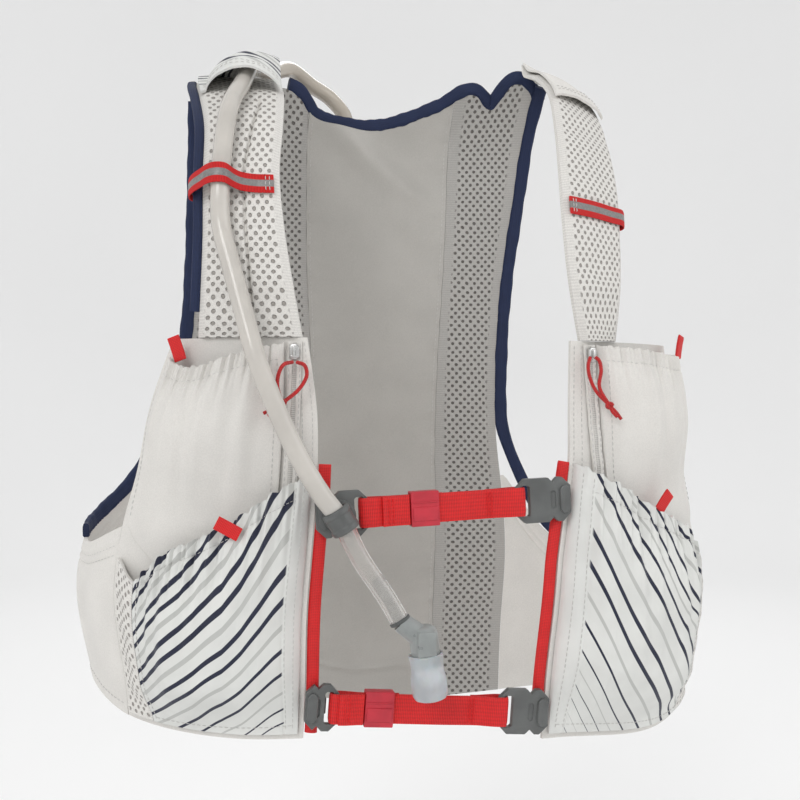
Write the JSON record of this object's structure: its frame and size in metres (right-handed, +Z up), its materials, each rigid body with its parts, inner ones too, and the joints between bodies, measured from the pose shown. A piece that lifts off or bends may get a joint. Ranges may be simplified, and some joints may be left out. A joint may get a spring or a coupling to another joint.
{
  "type": "running hydration vest",
  "caption": "Running hydration vest with gathered stretch pockets, chest straps on cord rails and a drinking hose with a bite valve",
  "frame": {"origin": "the shoulder seat, midway between the two shoulder straps at the height of their undersides, where the vest hangs on its wearer", "axes": "+X to the image's right, which is the wearer's left, the front faces -Y, +Z up"},
  "size_m": [0.3713, 0.2388, 0.4254],
  "materials": {
    "cloth": "matte stretch cloth",
    "back_cloth": "smooth matte cloth",
    "mesh": "open spacer mesh",
    "striped_cloth": "stretch cloth with printed stripes",
    "navy_binding": "woven binding",
    "loop_ribbon": "ribbon with a grey reflective band",
    "slider_metal": "satin",
    "red_cord": "braided",
    "red_ribbon": "woven",
    "grey_plastic": "satin",
    "red_webbing": "woven",
    "keeper_rubber": "satin",
    "hose_tube": "translucent",
    "valve_body": "satin",
    "valve_silicone": "translucent"
  },
  "bodies": {
    "root": {"side_panel_left": "cloth", "side_panel_right": "cloth", "front_panel_left": "cloth", "front_panel_right": "cloth", "upper_pocket_left": "cloth", "upper_pocket_right": "cloth", "shoulder_yoke_right": "cloth", "back_compartment": "cloth", "zipper_left": "cloth", "zipper_right": "cloth", "back_panel": "back_cloth", "back_mesh_left": "mesh", "back_mesh_right": "mesh", "mesh_gusset_left": "mesh", "mesh_gusset_right": "mesh", "shoulder_strap_left": "mesh", "shoulder_strap_right": "mesh", "lower_pocket_left": "striped_cloth", "lower_pocket_right": "striped_cloth", "shoulder_yoke_left": "striped_cloth", "neck_binding": "navy_binding", "armhole_binding_left": "navy_binding", "armhole_binding_right": "navy_binding", "strap_binding_left": "navy_binding", "strap_loop_left": "loop_ribbon", "strap_loop_right": "loop_ribbon", "zip_slider_left": "slider_metal", "zip_slider_right": "slider_metal", "zip_cord_left": "red_cord", "zip_cord_right": "red_cord", "rail_left": "red_cord", "rail_right": "red_cord", "pocket_tab_upper_left": "red_ribbon", "pocket_tab_upper_right": "red_ribbon", "pocket_tab_lower_left": "red_ribbon", "pocket_tab_lower_right": "red_ribbon", "rail_tab_left": "red_ribbon", "rail_tab_right": "red_ribbon", "upper_buckle_left": "grey_plastic", "upper_buckle_right": "grey_plastic", "lower_buckle_left": "grey_plastic", "lower_buckle_right": "grey_plastic", "hose_port": "grey_plastic", "hose_clip": "grey_plastic", "upper_strap": "red_webbing", "lower_strap": "red_webbing", "upper_keeper": "keeper_rubber", "lower_keeper": "keeper_rubber", "hose": "hose_tube", "valve_elbow": "valve_body", "valve_cap": "valve_silicone"}
  },
  "joints": []
}
